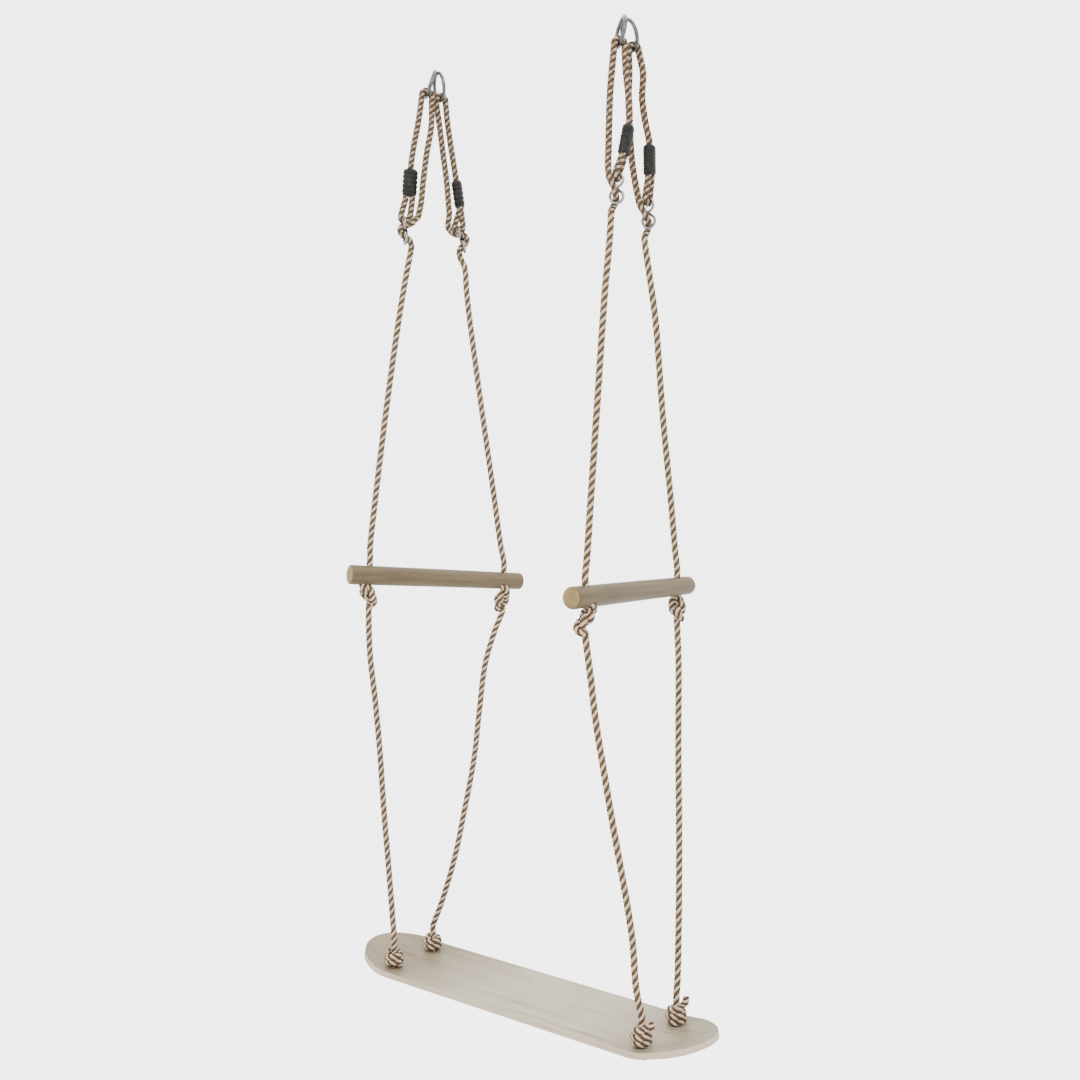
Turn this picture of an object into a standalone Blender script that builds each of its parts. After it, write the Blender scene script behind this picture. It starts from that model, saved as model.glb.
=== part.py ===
"""Stand-up board swing: a plywood deck with kicked-up ends, hung from two points by ropes.

Each side has two ropes. A rope starts in a ferrule, runs up over a steel ring, comes down
through a figure-eight length adjuster, passes through a wooden grip bar with a stopper knot
under it, and ends in a knot on the deck. Under the deck one rope joins the two holes.

Metres, +Z up. The origin is on the line between the two hooks that hold the rings, at the height
where the rings bear on them, above the middle of the deck. +X runs along the deck, -Y is the near side.
"""
import math

import bmesh
import bpy
from mathutils import Matrix, Vector

# ---- driving dimensions ----
HOOK_LEFT_X = -0.2158       # the two hanging points
HOOK_RIGHT_X = 0.2036
DECK_TOP_Z = -1.681         # deck's top face at its middle, below the hooks

DECK_WIDTH = 0.177
DECK_THICK = 0.0102
DECK_FLAT_HALF = 0.271      # the deck is level this far from its middle
KICK_RADIUS = 0.123         # bend between the level part and a kicked-up end
KICK_ANGLE = math.radians(13.8)
DECK_HALF = 0.383           # half the deck's length, measured along the board
DECK_END = 0.108            # length of each rounded end, along the board
CONCAVE_FLAT_HALF = 0.050   # the middle strip across the board that is flat
CONCAVE_RISE = 0.0035       # how much the long edges stand above it
HOLE_X = 0.280              # rope holes in the deck
HOLE_Y = 0.054
HOLE_R = 0.0070

BAR_LENGTH = 0.355
BAR_R_NEAR = 0.0180         # the grip bars taper a little
BAR_R_FAR = 0.0162
BAR_HOLE_OFFSET = 0.139     # rope holes, either side of a bar's middle
BAR_ROUNDING = 0.003

ROPE_R = 0.0055
WIRE_R_RING = 0.00275
RING_R = 0.02475            # to the middle of the wire
RING_SPACING = 0.0031       # half the distance between the two rings on one hook
BIGHT_R = 0.0094            # rope's middle line, round the ring's wire

WIRE_R_SLIDER = 0.002
SLIDER_LOBE_R = 0.011       # each lobe of the figure eight, to the middle of the wire
SLIDER_LOBE_Z = 0.013       # lobe centre above or below the crossing
SLIDER_CROSS = 0.0023       # the crossing wires pass at this distance either side
EYE_R = 0.0082              # rope eye round the slider's top wire

FERRULE_LENGTH = 0.050
FERRULE_HALF_THICK = 0.0100
FERRULE_HALF_WIDE = 0.0140
FERRULE_RIBS = 5
EYE_IN_FERRULE = 0.0061     # either side of the ferrule's middle

KNOT_BAR = (0.0165, 0.0165, 0.0150)
KNOT_DECK = (0.0175, 0.0175, 0.0190)
GAP = 0.0004
ROPE_END_GAP = 0.0012       # a rope's cut end to the face it stops at

BIGHT_CUT_Z = -0.062        # below this height the rope belongs to the moving side

# ---- the two sides ----
# bar: middle, heading of the bar from +X and its slope
SIDES = {
    "left": {
        "hook": Vector((HOOK_LEFT_X, 0.0, 0.0)),
        "bar_centre": Vector((-0.2192, 0.0054, -0.9390)),
        "bar_yaw": math.radians(66.8),
        "bar_tilt": math.radians(-3.9),
    },
    "right": {
        "hook": Vector((HOOK_RIGHT_X, 0.0, 0.0)),
        "bar_centre": Vector((0.2245, 0.0030, -0.9430)),
        "bar_yaw": math.radians(90.0),
        "bar_tilt": 0.0,
    },
}

# ---- the four rope assemblies ----
# ring: where the rope bears on its wire, and the heading of its axis; slider: crossing of the
# figure eight, its upward axis, the heading that it faces (towards the strand that it grips) and
# whether that strand comes in beside it; ferrule: middles of its upper and lower faces and the
# heading of its wide direction; leg: rope from the ferrule up to the ring, on the outer side of
# the ring or not; main: rope from the ring down to the slider; upper: slider to grip bar;
# lower: grip bar to deck. Points of a route are in order, top down, except leg, which runs up.
ROPES = {
    ("left", "near"): {
        "ring_foot": Vector((-0.2203, -0.0200, -0.0430)),
        "ring_yaw": math.radians(54.0),
        "slider": Vector((-0.2380, -0.0600, -0.2955)),
        "slider_axis": Vector((0.0, 0.0, 1.0)),
        "towards_yaw": math.radians(50.0),
        "beside": 0.0,
        "ferrule_top": Vector((-0.2350, -0.0480, -0.1805)),
        "ferrule_foot": Vector((-0.2355, -0.0520, -0.2310)),
        "ferrule_yaw": math.radians(50.0),
        "leg_outside": True,
        "leg": [(-0.2335, -0.0420, -0.140), (-0.2305, -0.0340, -0.100)],
        "main": [(-0.2100, -0.0190, -0.100), (-0.2145, -0.0275, -0.154), (-0.2165, -0.0350, -0.207),
                 (-0.2180, -0.0395, -0.246), (-0.2235, -0.0435, -0.272)],
        "upper": [(-0.2380, -0.0640, -0.400), (-0.2440, -0.0760, -0.478), (-0.2580, -0.0950, -0.644),
                  (-0.2680, -0.1110, -0.791), (-0.2730, -0.1200, -0.880)],
        "lower": [(-0.2815, -0.1140, -1.068), (-0.2790, -0.1030, -1.163), (-0.2775, -0.0930, -1.258),
                  (-0.2775, -0.0830, -1.373), (-0.2780, -0.0680, -1.509), (-0.2775, -0.0590, -1.605)],
    },
    ("left", "far"): {
        "ring_foot": Vector((-0.2140, 0.0116, -0.0450)),
        "ring_yaw": math.radians(62.0),
        "slider": Vector((-0.1935, 0.0465, -0.3000)),
        "slider_axis": Vector((-0.14, -0.20, 0.97)),
        "towards_yaw": math.radians(222.0),
        "beside": 0.0,
        "ferrule_top": Vector((-0.1970, 0.0350, -0.1910)),
        "ferrule_foot": Vector((-0.1935, 0.0415, -0.2410)),
        "ferrule_yaw": math.radians(298.0),
        "leg_outside": True,
        "leg": [(-0.2010, 0.0295, -0.148), (-0.2060, 0.0230, -0.095)],
        "main": [(-0.2155, 0.0100, -0.095), (-0.2125, 0.0160, -0.145), (-0.2075, 0.0200, -0.195),
                 (-0.2040, 0.0208, -0.235), (-0.2035, 0.0225, -0.258),
                 (-0.2087, 0.0244, -0.278)],
        "upper": [(-0.1905, 0.0570, -0.400), (-0.1870, 0.0690, -0.487), (-0.1790, 0.0910, -0.638),
                  (-0.1710, 0.1110, -0.772), (-0.1655, 0.1270, -0.880)],
        "lower": [(-0.1800, 0.1250, -1.049), (-0.1940, 0.1130, -1.114), (-0.2035, 0.1070, -1.203),
                  (-0.2130, 0.1010, -1.301), (-0.2280, 0.0900, -1.401), (-0.2450, 0.0780, -1.500),
                  (-0.2670, 0.0630, -1.590)],
    },
    ("right", "near"): {
        "ring_foot": Vector((0.2080, -0.0185, -0.0430)),
        "ring_yaw": math.radians(54.0),
        "slider": Vector((0.2105, -0.0290, -0.2800)),
        "slider_axis": Vector((0.0, 0.04, 1.0)),
        "towards_yaw": math.radians(288.0),
        "beside": 1.0,
        "ferrule_top": Vector((0.2240, -0.0130, -0.1730)),
        "ferrule_foot": Vector((0.2180, -0.0210, -0.2245)),
        "ferrule_yaw": math.radians(288.0),
        "leg_outside": False,
        "leg": [(0.2225, -0.0125, -0.130), (0.2180, -0.0135, -0.090)],
        "main": [(0.2005, -0.0290, -0.085), (0.1985, -0.0310, -0.120), (0.1985, -0.0340, -0.170),
                 (0.1995, -0.0370, -0.215)],
        "upper": [(0.2080, -0.0470, -0.375), (0.2090, -0.0600, -0.449), (0.2140, -0.0880, -0.629),
                  (0.2180, -0.1120, -0.790), (0.2225, -0.1290, -0.885)],
        "lower": [(0.2270, -0.1270, -1.061), (0.2330, -0.1190, -1.141), (0.2410, -0.1080, -1.222),
                  (0.2520, -0.0950, -1.320), (0.2640, -0.0810, -1.419), (0.2720, -0.0700, -1.502),
                  (0.2750, -0.0630, -1.585)],
    },
    ("right", "far"): {
        "ring_foot": Vector((0.2128, 0.0172, -0.0440)),
        "ring_yaw": math.radians(58.0),
        "slider": Vector((0.2130, 0.0625, -0.3040)),
        "slider_axis": Vector((0.0, -0.10, 0.99)),
        "towards_yaw": math.radians(276.0),
        "beside": 1.0,
        "ferrule_top": Vector((0.2220, 0.0510, -0.1920)),
        "ferrule_foot": Vector((0.2190, 0.0575, -0.2420)),
        "ferrule_yaw": math.radians(276.0),
        "leg_outside": True,
        "leg": [(0.2195, 0.0420, -0.155), (0.2175, 0.0355, -0.118), (0.2225, 0.0305, -0.080)],
        "main": [(0.2060, 0.0140, -0.080), (0.2020, 0.0180, -0.120), (0.1995, 0.0260, -0.170),
                 (0.1980, 0.0360, -0.225)],
        "upper": [(0.2110, 0.0710, -0.410), (0.2140, 0.0850, -0.482), (0.2170, 0.1060, -0.652),
                  (0.2215, 0.1250, -0.791), (0.2240, 0.1370, -0.885)],
        "lower": [(0.2360, 0.1290, -1.071), (0.2480, 0.1100, -1.225),
                  (0.2620, 0.0910, -1.394), (0.2710, 0.0750, -1.527), (0.2770, 0.0620, -1.610)],
    },
}

# name: colour, roughness, metallic
MATERIALS = {
    "birch_plywood": ((0.52, 0.47, 0.39), 0.55, 0.0),
    "turned_wood": ((0.42, 0.36, 0.28), 0.60, 0.0),
    "laid_rope": ((0.38, 0.29, 0.19), 0.85, 0.0),
    "galvanised_steel": ((0.55, 0.55, 0.54), 0.38, 1.0),
    "bright_steel": ((0.66, 0.67, 0.68), 0.25, 1.0),
    "black_rubber": ((0.03, 0.028, 0.026), 0.62, 0.0),
}


def clear_scene():
    for obj in list(bpy.data.objects):
        bpy.data.objects.remove(obj, do_unlink=True)


def make_collection(name):
    made = bpy.data.collections.new(name)
    bpy.context.scene.collection.children.link(made)
    return made


def make_material(name):
    colour, roughness, metallic = MATERIALS[name]
    made = bpy.data.materials.new(name)
    made.use_nodes = True
    shader = made.node_tree.nodes["Principled BSDF"]
    shader.inputs["Base Color"].default_value = (*colour, 1.0)
    shader.inputs["Roughness"].default_value = roughness
    shader.inputs["Metallic"].default_value = metallic
    return made


def add_object(name, data, material):
    made = bpy.data.objects.new(name, data)
    PARTS.objects.link(made)
    if material:
        made.data.materials.append(bpy.data.materials[material])
    return made


def heading(yaw):
    """Level unit vector at this angle from +X."""
    return Vector((math.cos(yaw), math.sin(yaw), 0.0))


# ---- routes ----
def smooth_curve(points, step=0.001):
    """Points about step apart on a smooth curve through the given points."""
    pts = [Vector(p) for p in points]
    pts = [2 * pts[0] - pts[1], *pts, 2 * pts[-1] - pts[-2]]
    curve = []
    for a, b, c, d in zip(pts, pts[1:], pts[2:], pts[3:]):
        ta, tb, tc = ((b - a).length ** 0.5, (c - b).length ** 0.5, (d - c).length ** 0.5)
        m1 = ((b - a) / ta - (c - a) / (ta + tb) + (c - b) / tb) * tb
        m2 = ((c - b) / tb - (d - b) / (tb + tc) + (d - c) / tc) * tb
        count = max(2, round((c - b).length / step))
        for i in range(count):
            t = i / count
            h1 = 2 * t**3 - 3 * t**2 + 1
            h2 = t**3 - 2 * t**2 + t
            h3 = -2 * t**3 + 3 * t**2
            h4 = t**3 - t**2
            curve.append(h1 * b + h2 * m1 + h3 * c + h4 * m2)
    curve.append(pts[-2])
    return curve


def thinned(curve, longest=0.028, turn=math.radians(13.0)):
    """The curve's points that a tube needs: close together in bends, further apart between them."""
    kept = [curve[0]]
    heading_kept = (curve[1] - curve[0]).normalized()
    run = 0.0
    for before, point, after in zip(curve, curve[1:], curve[2:]):
        run += (point - before).length
        way = (after - point).normalized()
        if run > longest or way.angle(heading_kept) > turn:
            kept.append(point)
            heading_kept = way
            run = 0.0
    if (curve[-1] - kept[-1]).length < 0.004 and len(kept) > 1:
        kept.pop()
    kept.append(curve[-1])
    return kept


def tube(name, points, radius, material, cyclic=False, sides=2):
    """A round tube through the points, as a curve with a bevel."""
    curve = bpy.data.curves.new(name, "CURVE")
    curve.dimensions = "3D"
    curve.bevel_depth = radius
    curve.bevel_resolution = sides
    curve.use_fill_caps = not cyclic
    spline = curve.splines.new("POLY")
    spline.points.add(len(points) - 1)
    for spot, point in zip(spline.points, points):
        spot.co = (*point, 1.0)
    spline.use_cyclic_u = cyclic
    return add_object(name, curve, material)


# ---- deck ----
def deck_surface(along, across):
    """A point of the deck's top: along is measured on the board from its middle."""
    run, side = abs(along), math.copysign(1.0, along)
    bend = min(max((run - DECK_FLAT_HALF) / KICK_RADIUS, 0.0), KICK_ANGLE)
    straight = max(run - DECK_FLAT_HALF - KICK_RADIUS * KICK_ANGLE, 0.0)
    x = min(run, DECK_FLAT_HALF) + KICK_RADIUS * math.sin(bend) + straight * math.cos(bend)
    z = KICK_RADIUS * (1 - math.cos(bend)) + straight * math.sin(bend)
    edge = max(abs(across) - CONCAVE_FLAT_HALF, 0.0) / (DECK_WIDTH / 2 - CONCAVE_FLAT_HALF)
    return Vector((side * x, across, DECK_TOP_Z + z + CONCAVE_RISE * edge * edge))


def deck_stations():
    """(along, half width) from the middle to one end."""
    stations = [(0.14, DECK_WIDTH / 2)]
    stations += [(DECK_FLAT_HALF - 0.004, DECK_WIDTH / 2)]
    for degrees in (0, 12, 24, 36, 48, 58, 68, 76, 83, 88):
        turn = math.radians(degrees)
        stations.append((DECK_HALF - DECK_END * (1 - math.sin(turn)), DECK_WIDTH / 2 * math.cos(turn)))
    return stations


def add_deck():
    strips = (-1.0, -0.93, -0.84, -0.72, -2 * CONCAVE_FLAT_HALF / DECK_WIDTH)
    strips = (*strips, *(-s for s in reversed(strips)))
    half = deck_stations()
    stations = [(-a, w) for a, w in reversed(half)] + half
    mesh = bpy.data.meshes.new("deck")
    bm = bmesh.new()
    rows = [[bm.verts.new(deck_surface(a, w * s)) for s in strips] for a, w in stations]
    for row, after in zip(rows, rows[1:]):
        for i in range(len(strips) - 1):
            bm.faces.new((row[i], after[i], after[i + 1], row[i + 1]))
    bm.to_mesh(mesh)
    bm.free()
    deck = add_object("deck", mesh, "birch_plywood")
    shell = deck.modifiers.new("thickness", "SOLIDIFY")
    shell.thickness = DECK_THICK
    shell.offset = -1.0
    for x in (-HOLE_X, HOLE_X):
        for y in (-HOLE_Y, HOLE_Y):
            cutter = add_cutter(HOLE_R, 0.05, Matrix.Translation((x, y, DECK_TOP_Z)))
            cut(deck, cutter)
    return deck


# ---- cutters ----
def add_cutter(radius, length, place):
    bm = bmesh.new()
    bmesh.ops.create_cone(bm, cap_ends=True, segments=14, radius1=radius, radius2=radius, depth=length)
    mesh = bpy.data.meshes.new("cutter")
    bm.to_mesh(mesh)
    bm.free()
    cutter = bpy.data.objects.new("cutter", mesh)
    cutter.matrix_world = place
    cutter.hide_render = True
    cutter.display_type = "WIRE"
    CUTTERS.objects.link(cutter)
    return cutter


def cut(obj, cutter):
    boolean = obj.modifiers.new("cut", "BOOLEAN")
    boolean.operation = "DIFFERENCE"
    boolean.solver = "EXACT"
    boolean.object = cutter


# ---- grip bars ----
def bar_axes(side):
    """Unit vectors along the bar and along its rope holes."""
    yaw, tilt = side["bar_yaw"], side["bar_tilt"]
    along = heading(yaw) * math.cos(tilt) + Vector((0, 0, math.sin(tilt)))
    across = Vector((-math.sin(yaw), math.cos(yaw), 0.0))
    return along, across.cross(along) * -1.0


def bar_radius(offset):
    """The bar's radius at this distance from its middle."""
    share = 0.5 + offset / BAR_LENGTH
    return BAR_R_NEAR + (BAR_R_FAR - BAR_R_NEAR) * share


def end_offset(end):
    return -BAR_HOLE_OFFSET if end == "near" else BAR_HOLE_OFFSET


def bar_hole(side, end):
    """(middle of a rope hole, unit vector up the hole, bar's radius there)."""
    along, up = bar_axes(side)
    offset = end_offset(end)
    return side["bar_centre"] + along * offset, up, bar_radius(offset)


def add_grip_bar(side_name):
    side = SIDES[side_name]
    along, up = bar_axes(side)
    bm = bmesh.new()
    bmesh.ops.create_cone(bm, cap_ends=True, segments=28, radius1=BAR_R_NEAR, radius2=BAR_R_FAR,
                          depth=BAR_LENGTH)
    mesh = bpy.data.meshes.new("grip_bar")
    bm.to_mesh(mesh)
    bm.free()
    bar = add_object("grip_bar_" + side_name, mesh, "turned_wood")
    frame = Matrix((up.cross(along), up, along)).transposed().to_4x4()
    bar.matrix_world = Matrix.Translation(side["bar_centre"]) @ frame
    rounding = bar.modifiers.new("rounding", "BEVEL")
    rounding.width = BAR_ROUNDING
    rounding.segments = 2
    rounding.limit_method = "ANGLE"
    rounding.angle_limit = math.radians(40.0)
    for end in ("near", "far"):
        middle, hole_up, _ = bar_hole(side, end)
        turn = hole_up.to_track_quat("Z", "Y").to_matrix().to_4x4()
        cut(bar, add_cutter(HOLE_R, 0.06, Matrix.Translation(middle) @ turn))


# ---- rings ----
def ring_axes(side_name, end):
    """(top of the ring's wire, unit vector from there to its foot, unit vector along its axis)."""
    rope = ROPES[side_name, end]
    sign = -1.0 if end == "near" else 1.0
    level = heading(rope["ring_yaw"])
    top = SIDES[side_name]["hook"] + level * (sign * RING_SPACING) + Vector((0, 0, WIRE_R_RING))
    down = (rope["ring_foot"] - top).normalized()
    return top, down, (level - down * level.dot(down)).normalized()


def ring_foot(side_name, end):
    """Middle of the wire where the rope bears."""
    top, down, _ = ring_axes(side_name, end)
    return top + down * (2 * RING_R)


def add_ring(side_name, end):
    top, down, normal = ring_axes(side_name, end)
    bpy.ops.mesh.primitive_torus_add(major_radius=RING_R, minor_radius=WIRE_R_RING,
                                     major_segments=28, minor_segments=8)
    ring = bpy.context.object
    ring.name = f"ring_{side_name}_{end}"
    ring.data.name = ring.name
    for used in list(ring.users_collection):
        used.objects.unlink(ring)
    PARTS.objects.link(ring)
    ring.data.materials.append(bpy.data.materials["galvanised_steel"])
    frame = Matrix((normal.cross(down), -down, normal)).transposed().to_4x4()
    ring.matrix_world = Matrix.Translation(top + down * RING_R) @ frame


# ---- figure-eight sliders ----
def slider_axes(rope):
    """Unit vectors of a slider: across its wires, towards the gripped strand, and up."""
    up = rope["slider_axis"].normalized()
    towards = heading(rope["towards_yaw"])
    towards = (towards - up * towards.dot(up)).normalized()
    return towards.cross(up), towards, up


def in_slider(rope, across, towards, up):
    """A point given in a slider's own axes, from its crossing."""
    a, t, u = slider_axes(rope)
    return rope["slider"] + a * across + t * towards + u * up


def add_slider(side_name, end, rope):
    start, sweep, count = math.radians(-40.0), math.radians(260.0), 13
    points = []
    for lobe in (1.0, -1.0):
        for i in range(count):
            share = i / (count - 1)
            turn = start + sweep * share
            across = SLIDER_LOBE_R * math.cos(turn)
            up = lobe * (SLIDER_LOBE_Z + SLIDER_LOBE_R * math.sin(turn))
            offset = lobe * SLIDER_CROSS * (2 * share - 1)
            points.append(in_slider(rope, across, offset, up))
    tube(f"slider_{side_name}_{end}", points, WIRE_R_SLIDER, "bright_steel", cyclic=True)


# ---- ferrules ----
def ferrule_axes(rope):
    """Unit vectors of a ferrule: along its wide direction, and up."""
    up = (rope["ferrule_top"] - rope["ferrule_foot"]).normalized()
    wide = heading(rope["ferrule_yaw"])
    return (wide - up * wide.dot(up)).normalized(), up


def ferrule_top(rope):
    """Middle of the ferrule's upper face."""
    return rope["ferrule_foot"] + ferrule_axes(rope)[1] * FERRULE_LENGTH


def add_ferrule(side_name, end, rope):
    profile = [(0.0, FERRULE_LENGTH), (0.72, FERRULE_LENGTH), (0.90, FERRULE_LENGTH - 0.002)]
    pitch = (FERRULE_LENGTH - 0.004) / FERRULE_RIBS
    for i in range(FERRULE_RIBS):
        top = FERRULE_LENGTH - 0.002 - pitch * i
        profile += [(1.0, top - 0.35 * pitch), (1.0, top - 0.65 * pitch)]
        if i < FERRULE_RIBS - 1:
            profile.append((0.90, top - pitch))
    profile += [(0.90, 0.002), (0.72, 0.0), (0.0, 0.0)]
    mesh = bpy.data.meshes.new("ferrule")
    bm = bmesh.new()
    line = [bm.verts.new((share, 0.0, z)) for share, z in profile]
    for a, b in zip(line, line[1:]):
        bm.edges.new((a, b))
    geometry = bm.verts[:] + bm.edges[:]
    bmesh.ops.spin(bm, geom=geometry, cent=(0, 0, 0), axis=(0, 0, 1), angle=2 * math.pi, steps=16,
                   use_merge=True)
    bmesh.ops.remove_doubles(bm, verts=bm.verts[:], dist=0.0001)
    bmesh.ops.scale(bm, vec=(FERRULE_HALF_WIDE, FERRULE_HALF_THICK, 1.0), verts=bm.verts[:])
    bmesh.ops.recalc_face_normals(bm, faces=bm.faces[:])
    bm.to_mesh(mesh)
    bm.free()
    ferrule = add_object(f"ferrule_{side_name}_{end}", mesh, "black_rubber")
    wide, up = ferrule_axes(rope)
    frame = Matrix((wide, up.cross(wide), up)).transposed().to_4x4()
    ferrule.matrix_world = Matrix.Translation(rope["ferrule_foot"]) @ frame


# ---- ropes ----
def bight_points(side_name, end, leg_sign):
    """Rope over the ring's wire, from the ferrule's leg to the other."""
    foot = ring_foot(side_name, end)
    level = heading(ROPES[side_name, end]["ring_yaw"]) * leg_sign
    turns = [math.radians(d) for d in (-12, 15, 45, 75, 105, 135, 165, 192)]
    return [foot + level * (BIGHT_R * math.cos(t)) + Vector((0, 0, BIGHT_R * math.sin(t))) for t in turns]


def grip_points(rope):
    """The gripped strand's weave through a slider: past the crossing, in through the lower lobe."""
    if rope["beside"]:
        weave = [(11.0, 13.4, 27.0), (8.5, 13.0, 14.0), (4.5, 12.0, 6.0), (1.0, 11.0, 0.0), (0.0, 10.3, -3.4),
                 (0.0, 7.6, -7.4), (0.5, 1.0, -13.0), (3.0, -5.9, -17.5), (6.0, -9.6, -23.0), (9.0, -7.5, -31.0),
                 (9.0, -1.0, -38.0), (7.5, 3.5, -47.0)]
    else:
        weave = [(0.0, 18.0, 14.0), (0.0, 14.4, 6.0), (0.0, 11.1, 0.0), (0.0, 10.3, -3.4), (0.0, 7.6, -7.4),
                 (0.0, 1.0, -13.0), (0.0, -6.0, -16.5), (0.0, -9.7, -22.5), (0.0, -8.8, -30.0), (0.0, -3.5, -36.0),
                 (0.0, 2.5, -41.0), (0.0, 4.5, -49.0)]
    return [in_slider(rope, a * rope["beside"] / 1000, t / 1000, u / 1000) for a, t, u in weave]


def hanging_rope(side_name, end, rope):
    """Middle line of the rope from the ferrule, over the ring and down to the grip bar's knot."""
    sign = -1.0 if end == "near" else 1.0
    leg_sign = sign if rope["leg_outside"] else -sign
    middle, up, radius = bar_hole(SIDES[side_name], end)
    through = [middle + up * h for h in (radius + 0.016, radius, 0.0, -radius)]
    out = ferrule_axes(rope)[1]
    route = [ferrule_top(rope) + out * ROPE_END_GAP, ferrule_top(rope) + out * 0.005]
    route += rope["leg"] + bight_points(side_name, end, leg_sign) + rope["main"]
    route += grip_points(rope) + rope["upper"] + through
    return smooth_curve(route)


def add_hanging_rope(side_name, end, rope):
    """The rope in three nodes: its leg to the ferrule, its bight on the ring, and its long run."""
    curve = hanging_rope(side_name, end, rope)
    high = [i for i, p in enumerate(curve) if p.z > BIGHT_CUT_Z]
    first, last = min(high), max(high)
    label = f"{side_name}_{end}"
    tube("rope_leg_" + label, thinned(curve[:first - 1]), ROPE_R, "laid_rope")
    tube("rope_bight_" + label, thinned(curve[first:last + 1]), ROPE_R, "laid_rope")
    tube("rope_upper_" + label, thinned(curve[last + 2:]), ROPE_R, "laid_rope")


def add_eye(side_name, end, rope):
    """The rope eye that holds the slider under its ferrule."""
    wide, up = ferrule_axes(rope)
    start = rope["ferrule_foot"] - up * ROPE_END_GAP
    lobe_top = SLIDER_LOBE_Z + SLIDER_LOBE_R
    route = [start + wide * EYE_IN_FERRULE, start + wide * EYE_IN_FERRULE - up * 0.003]
    for degrees in range(0, 181, 30):
        turn = math.radians(degrees)
        route.append(in_slider(rope, 0.0, EYE_R * math.cos(turn), lobe_top - EYE_R * math.sin(turn)))
    route += [start - wide * EYE_IN_FERRULE - up * 0.003, start - wide * EYE_IN_FERRULE]
    tube(f"rope_eye_{side_name}_{end}", thinned(smooth_curve(route)), ROPE_R, "laid_rope")


def add_knot(name, centre, radii):
    bm = bmesh.new()
    bmesh.ops.create_uvsphere(bm, u_segments=12, v_segments=8, radius=1.0)
    bmesh.ops.scale(bm, vec=radii, verts=bm.verts[:])
    mesh = bpy.data.meshes.new(name)
    bm.to_mesh(mesh)
    bm.free()
    add_object(name, mesh, "laid_rope").location = centre


def deck_hole(side_name, end):
    """Where a rope hole meets the deck's top."""
    x = -HOLE_X if side_name == "left" else HOLE_X
    y = -HOLE_Y if end == "near" else HOLE_Y
    return deck_surface(x, y)


def add_knots_and_lower_rope(side_name, end, rope):
    side = SIDES[side_name]
    label = f"{side_name}_{end}"
    middle, up, radius = bar_hole(side, end)
    bar_knot = middle - up * (radius + 2 * GAP + KNOT_BAR[2])
    deck_knot = deck_hole(side_name, end) + Vector((0, 0, 3 * GAP + KNOT_DECK[2]))
    add_knot("knot_bar_" + label, bar_knot, KNOT_BAR)
    add_knot("knot_deck_" + label, deck_knot, KNOT_DECK)
    start = bar_knot - Vector((0, 0, KNOT_BAR[2] + ROPE_END_GAP))
    finish = deck_knot + Vector((0, 0, KNOT_DECK[2] + ROPE_END_GAP))
    route = smooth_curve([start, *rope["lower"], finish])
    tube("rope_lower_" + label, thinned(route), ROPE_R, "laid_rope")


def add_under_rope(side_name):
    """Rope between a pair of deck holes: down one, along the underside, and up the other."""
    top = deck_hole(side_name, "near")
    under = top.z - DECK_THICK
    bend, run = 0.0100, 0.0070
    half = [(HOLE_Y, top.z - GAP), (HOLE_Y, under + 0.002), (HOLE_Y - 0.0010, under - 0.0042),
            (HOLE_Y - 0.0050, under - 0.0086), (HOLE_Y - bend - 0.003, under - 0.0100),
            (HOLE_Y - 0.026, under - run)]
    route = [(top.x, -y, z) for y, z in half]
    route += [(top.x, 0.0, under - run)]
    route += [(top.x, y, z) for y, z in reversed(half)]
    tube("rope_under_" + side_name, thinned(smooth_curve(route)), ROPE_R, "laid_rope")


def build():
    for name in MATERIALS:
        make_material(name)
    add_deck()
    for side_name in SIDES:
        add_grip_bar(side_name)
        add_under_rope(side_name)
    for (side_name, end), rope in ROPES.items():
        add_ring(side_name, end)
        add_slider(side_name, end, rope)
        add_ferrule(side_name, end, rope)
        add_hanging_rope(side_name, end, rope)
        add_eye(side_name, end, rope)
        add_knots_and_lower_rope(side_name, end, rope)


clear_scene()
PARTS = make_collection("board_swing")
CUTTERS = make_collection("cutters")
build()
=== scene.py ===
"""Looks of the stand-up board swing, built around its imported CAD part."""

import math

import bpy
import numpy as np
from mathutils import Matrix, Vector


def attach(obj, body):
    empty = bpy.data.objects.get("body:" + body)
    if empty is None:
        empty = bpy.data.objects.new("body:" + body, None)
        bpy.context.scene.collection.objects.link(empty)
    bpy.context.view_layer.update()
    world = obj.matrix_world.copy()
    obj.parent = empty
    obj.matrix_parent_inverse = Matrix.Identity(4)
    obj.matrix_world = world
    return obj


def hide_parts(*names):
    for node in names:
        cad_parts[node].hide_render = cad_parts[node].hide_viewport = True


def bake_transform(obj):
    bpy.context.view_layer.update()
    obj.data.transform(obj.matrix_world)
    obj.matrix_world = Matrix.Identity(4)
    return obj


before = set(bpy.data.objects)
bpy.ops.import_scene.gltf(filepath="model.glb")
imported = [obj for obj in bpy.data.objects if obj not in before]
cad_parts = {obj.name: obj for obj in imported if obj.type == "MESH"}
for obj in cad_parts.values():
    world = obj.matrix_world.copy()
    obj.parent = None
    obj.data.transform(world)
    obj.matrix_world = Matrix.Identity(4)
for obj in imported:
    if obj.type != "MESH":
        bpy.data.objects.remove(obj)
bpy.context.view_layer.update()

# ---------------------------------------------------------------- dimensions, as in part.py
HOOK_LEFT_X = -0.2158
HOOK_RIGHT_X = 0.2036
DECK_TOP_Z = -1.681
DECK_WIDTH = 0.177
DECK_THICK = 0.0102
DECK_FLAT_HALF = 0.271
KICK_RADIUS = 0.123
KICK_ANGLE = math.radians(13.8)
DECK_HALF = 0.383
DECK_END = 0.108
CONCAVE_FLAT_HALF = 0.050
CONCAVE_RISE = 0.0035
HOLE_X = 0.280
HOLE_Y = 0.054
HOLE_R = 0.0070

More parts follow.
